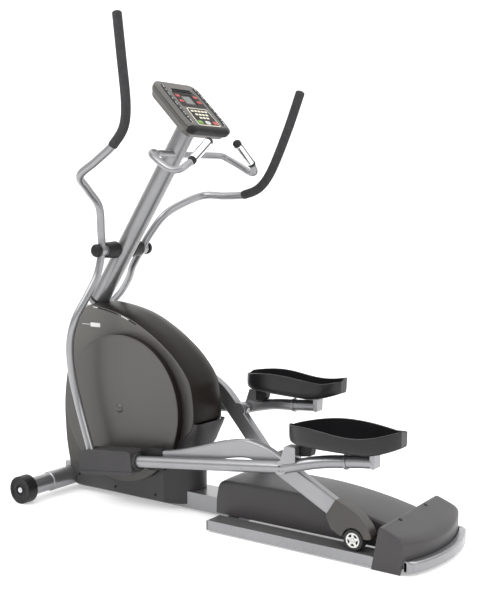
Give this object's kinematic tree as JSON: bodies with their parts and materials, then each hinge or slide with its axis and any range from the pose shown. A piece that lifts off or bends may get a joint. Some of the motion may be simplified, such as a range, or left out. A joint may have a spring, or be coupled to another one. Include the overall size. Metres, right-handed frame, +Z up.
{
  "type": "elliptical trainer",
  "caption": "Front-drive elliptical trainer with cranks and flywheel in a housing, pedal arms on ramp-running links, swinging handlebars and a console on a raked mast.",
  "frame": {"origin": "middle of the footprint on the floor, in the rest pose with the left pedal to the rear", "axes": "+X to the rear, where the user steps on; -Y the user's left; +Z up"},
  "size_m": [1.8398, 0.712, 1.8109],
  "materials": {
    "frame_paint": "satin",
    "mast_paint": "satin",
    "bare_steel": "brushed",
    "shell_grey": "gloss",
    "spine_black": "gloss",
    "dark_plastic": "satin",
    "black_plastic": "matte",
    "light_plastic": "satin",
    "track_rubber": "matte",
    "foam": "matte",
    "tyre": "matte",
    "disc_paint": "gloss",
    "cast_wheel": "satin",
    "display_glass": "gloss",
    "green_key": "satin",
    "red_key": "satin",
    "grip_chrome": "polished"
  },
  "bodies": {
    "frame": {"main_frame": "frame_paint", "front_stabiliser": "frame_paint", "console_mast": "mast_paint", "side_shell_left": "shell_grey", "side_shell_right": "shell_grey", "spine_cover": "spine_black", "lower_shroud": "dark_plastic", "rear_cowl": "dark_plastic", "frame_screws": "black_plastic", "power_inlet": "black_plastic", "ramp_frame": "frame_paint", "rail_tracks": "track_rubber", "centre_cover": "dark_plastic", "rear_cover": "dark_plastic", "rear_bumper": "frame_paint", "ramp_feet": "black_plastic", "handlebar_pivot": "bare_steel", "pivot_covers": "black_plastic", "console_bracket": "mast_paint", "console_shell": "dark_plastic", "console_face": "shell_grey", "console_display": "display_glass", "fixed_handlebar": "frame_paint", "pulse_grips": "grip_chrome", "crank_bearings": "bare_steel", "magnetic_brake": "bare_steel", "drive_belt": "track_rubber", "idler_arm": "bare_steel"},
    "front_roller_left": {"roller_left": "black_plastic"},
    "front_roller_right": {"roller_right": "black_plastic"},
    "crank": {"crank_axle": "bare_steel", "drive_pulley": "dark_plastic", "crank_arms": "bare_steel", "crank_disc_left": "disc_paint", "crank_disc_right": "disc_paint"},
    "flywheel": {"flywheel": "cast_wheel"},
    "idler": {"idler_roller": "bare_steel"},
    "carriage_left": {"wheel_axle_left": "bare_steel"},
    "wheel_left": {"slide_wheel_left": "tyre"},
    "link_left": {"connecting_arm_left": "frame_paint", "arm_end_cover_left": "black_plastic", "wheel_cover_left": "spine_black"},
    "pedal_link_left": {"pedal_arm_left": "frame_paint", "knuckle_shroud_left": "dark_plastic", "pedal_left": "black_plastic"},
    "handle_left": {"swing_arm_left": "frame_paint", "foam_grip_left": "foam"},
    "carriage_right": {"wheel_axle_right": "bare_steel"},
    "wheel_right": {"slide_wheel_right": "tyre"},
    "link_right": {"connecting_arm_right": "frame_paint", "arm_end_cover_right": "black_plastic", "wheel_cover_right": "spine_black"},
    "pedal_link_right": {"pedal_arm_right": "frame_paint", "knuckle_shroud_right": "dark_plastic", "pedal_right": "black_plastic"},
    "handle_right": {"swing_arm_right": "frame_paint", "foam_grip_right": "foam"},
    "start_key_body": {"start_key": "green_key"},
    "stop_key_body": {"stop_key": "red_key"},
    "level_key_body": {"level_key": "light_plastic"}
  },
  "joints": [
    {"name": "left_stride", "type": "slide", "parent": "frame", "child": "carriage_left", "axis": [1, 0, 0], "range_m": [-0.509, 0]},
    {"name": "right_stride", "type": "slide", "parent": "frame", "child": "carriage_right", "axis": [1, 0, 0], "range_m": [0, 0.51]},
    {"name": "left_arm_tilt", "type": "hinge", "parent": "carriage_left", "child": "link_left", "pos_m": [0.66372, -0.161, 0.0765], "axis": [0, 1, 0], "range_deg": [0, 21.6]},
    {"name": "right_arm_tilt", "type": "hinge", "parent": "carriage_right", "child": "link_right", "pos_m": [0.15436, 0.161, 0.0765], "axis": [0, 1, 0], "range_deg": [-21.6, 0]},
    {"name": "left_pedal_tilt", "type": "hinge", "parent": "link_left", "child": "pedal_link_left", "pos_m": [0.3974, -0.2, 0.272], "axis": [0, 1, 0], "range_deg": [-19.4, 0]},
    {"name": "right_pedal_tilt", "type": "hinge", "parent": "link_right", "child": "pedal_link_right", "pos_m": [-0.02167, 0.2, 0.35607], "axis": [0, 1, 0], "range_deg": [0, 19.4]},
    {"name": "left_swing", "type": "hinge", "parent": "frame", "child": "handle_left", "pos_m": [-0.4711, -0.117, 0.96], "axis": [0, 1, 0], "range_deg": [0, 32.4]},
    {"name": "right_swing", "type": "hinge", "parent": "frame", "child": "handle_right", "pos_m": [-0.4711, 0.117, 0.96], "axis": [0, 1, 0], "range_deg": [-32.4, 0]},
    {"name": "left_wheel_spin", "type": "hinge", "parent": "carriage_left", "child": "wheel_left", "pos_m": [0.66372, -0.183, 0.0765], "axis": [0, 1, 0], "continuous": true},
    {"name": "right_wheel_spin", "type": "hinge", "parent": "carriage_right", "child": "wheel_right", "pos_m": [0.15436, 0.183, 0.0765], "axis": [0, 1, 0], "continuous": true},
    {"name": "crank_spin", "type": "hinge", "parent": "frame", "child": "crank", "pos_m": [-0.3826, 0, 0.366], "axis": [0, 1, 0], "continuous": true},
    {"name": "flywheel_spin", "type": "hinge", "parent": "frame", "child": "flywheel", "pos_m": [-0.2476, 0, 0.215], "axis": [0, 1, 0], "continuous": true},
    {"name": "idler_spin", "type": "hinge", "parent": "frame", "child": "idler", "pos_m": [-0.34065, 0.022, 0.18763], "axis": [0, 1, 0], "continuous": true},
    {"name": "front_roller_left_spin", "type": "hinge", "parent": "frame", "child": "front_roller_left", "pos_m": [-0.6876, -0.331, 0.0525], "axis": [0, 1, 0], "continuous": true},
    {"name": "front_roller_right_spin", "type": "hinge", "parent": "frame", "child": "front_roller_right", "pos_m": [-0.6876, 0.331, 0.0525], "axis": [0, 1, 0], "continuous": true},
    {"name": "start_key_press", "type": "slide", "parent": "frame", "child": "start_key_body", "axis": [-0.7071, 0, -0.7071], "range_m": [0, 0.0015], "stiffness_N_per_m": 400},
    {"name": "stop_key_press", "type": "slide", "parent": "frame", "child": "stop_key_body", "axis": [-0.7071, 0, -0.7071], "range_m": [0, 0.0015], "stiffness_N_per_m": 400},
    {"name": "level_key_press", "type": "slide", "parent": "frame", "child": "level_key_body", "axis": [-0.7071, 0, -0.7071], "range_m": [0, 0.0015], "stiffness_N_per_m": 400}
  ],
  "couplings": [
    {"joint": "right_stride", "follows": "left_stride", "ratio": -1},
    {"joint": "left_arm_tilt", "follows": "left_stride", "rad_per_m": -0.73745},
    {"joint": "right_arm_tilt", "follows": "left_stride", "rad_per_m": 0.73745},
    {"joint": "left_pedal_tilt", "follows": "left_stride", "rad_per_m": 0.66207},
    {"joint": "right_pedal_tilt", "follows": "left_stride", "rad_per_m": -0.66207},
    {"joint": "left_swing", "follows": "left_stride", "rad_per_m": -1.1068},
    {"joint": "right_swing", "follows": "left_stride", "rad_per_m": 1.1068},
    {"joint": "flywheel_spin", "follows": "crank_spin", "ratio": 5.3846},
    {"joint": "idler_spin", "follows": "crank_spin", "ratio": -7.7778}
  ]
}
